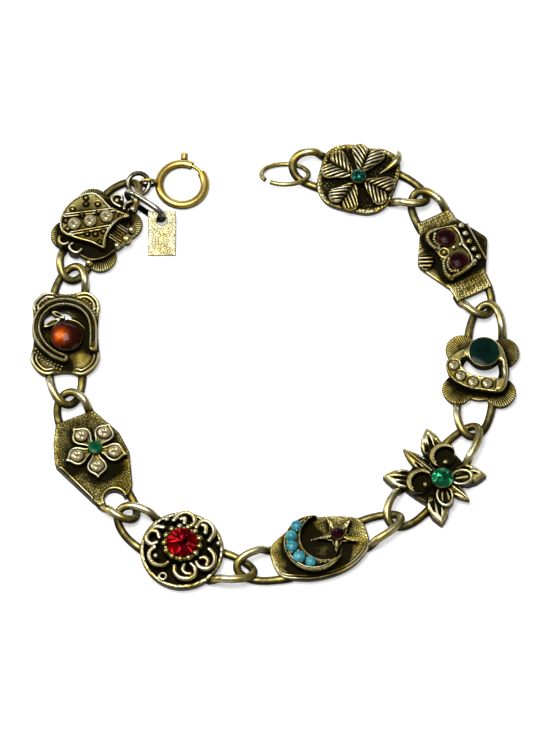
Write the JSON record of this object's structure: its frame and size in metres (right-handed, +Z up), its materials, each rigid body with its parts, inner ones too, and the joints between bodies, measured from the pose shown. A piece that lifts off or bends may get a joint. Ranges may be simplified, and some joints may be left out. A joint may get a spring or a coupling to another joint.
{
  "type": "link bracelet",
  "caption": "Antiqued brass bracelet of cast charm links set with glass stones, laid open in a curve, with a spring-ring clasp and hang tag at one end and a jump ring at the other.",
  "frame": {"origin": "middle of the footprint, on the surface the bracelet lies on", "axes": "+Z up from the surface; +Y towards the open side of the curve, where the clasp and the end ring are; the clasp lies towards -X"},
  "size_m": [0.0714, 0.0716, 0.0046],
  "materials": {
    "aged_brass": "antiqued casting, dark in its recesses and worn bright on its edges",
    "bright_brass": "polished, lightly worn",
    "dark_steel": "worn plating, tarnished",
    "pale_gilt": "fine pebbled, pale gilt",
    "emerald_glass": "foil-backed faceted glass",
    "bottle_green_glass": "foil-backed flat-topped glass",
    "garnet_glass": "foil-backed glass",
    "ruby_glass": "foil-backed faceted glass",
    "amber_glass": "polished domed glass",
    "clear_glass": "foil-backed rhinestone, slightly yellowed",
    "turquoise_glass": "opaque domed glass"
  },
  "bodies": {
    "bracelet": {"clover_link": "aged_brass", "clover_stone": "emerald_glass", "crown_link": "aged_brass", "crown_garnet_1": "garnet_glass", "crown_garnet_2": "garnet_glass", "heart_link": "aged_brass", "heart_stone": "bottle_green_glass", "heart_rhinestone_1": "clear_glass", "heart_rhinestone_2": "clear_glass", "heart_rhinestone_3": "clear_glass", "heart_rhinestone_4": "clear_glass", "orchid_link": "aged_brass", "orchid_stone": "emerald_glass", "crescent_link": "aged_brass", "crescent_turquoise_1": "turquoise_glass", "crescent_turquoise_2": "turquoise_glass", "crescent_turquoise_3": "turquoise_glass", "crescent_turquoise_4": "turquoise_glass", "crescent_turquoise_5": "turquoise_glass", "star_garnet": "garnet_glass", "rosette_link": "aged_brass", "rosette_ruby": "ruby_glass", "daisy_link": "aged_brass", "daisy_centre": "emerald_glass", "daisy_rhinestone_1": "clear_glass", "daisy_rhinestone_2": "clear_glass", "daisy_rhinestone_3": "clear_glass", "daisy_rhinestone_4": "clear_glass", "daisy_rhinestone_5": "clear_glass", "horseshoe_link": "aged_brass", "horseshoe_cabochon": "amber_glass", "shield_link": "aged_brass", "shield_rhinestone_1": "clear_glass", "shield_rhinestone_2": "clear_glass", "shield_rhinestone_3": "clear_glass", "spring_ring": "bright_brass", "clasp_jump_ring": "dark_steel", "tag_jump_ring": "dark_steel", "hang_tag": "pale_gilt", "end_jump_ring": "aged_brass"},
    "gate": {"spring_ring_gate": "bright_brass"}
  },
  "joints": [
    {"name": "gate_slide", "type": "hinge", "parent": "bracelet", "child": "gate", "pos_m": [-0.01363, 0.02965, 0.00065], "axis": [0, 0, 1], "range_deg": [0, 32], "stiffness_Nm_per_rad": 0.0001, "springref_deg": -17.19}
  ]
}
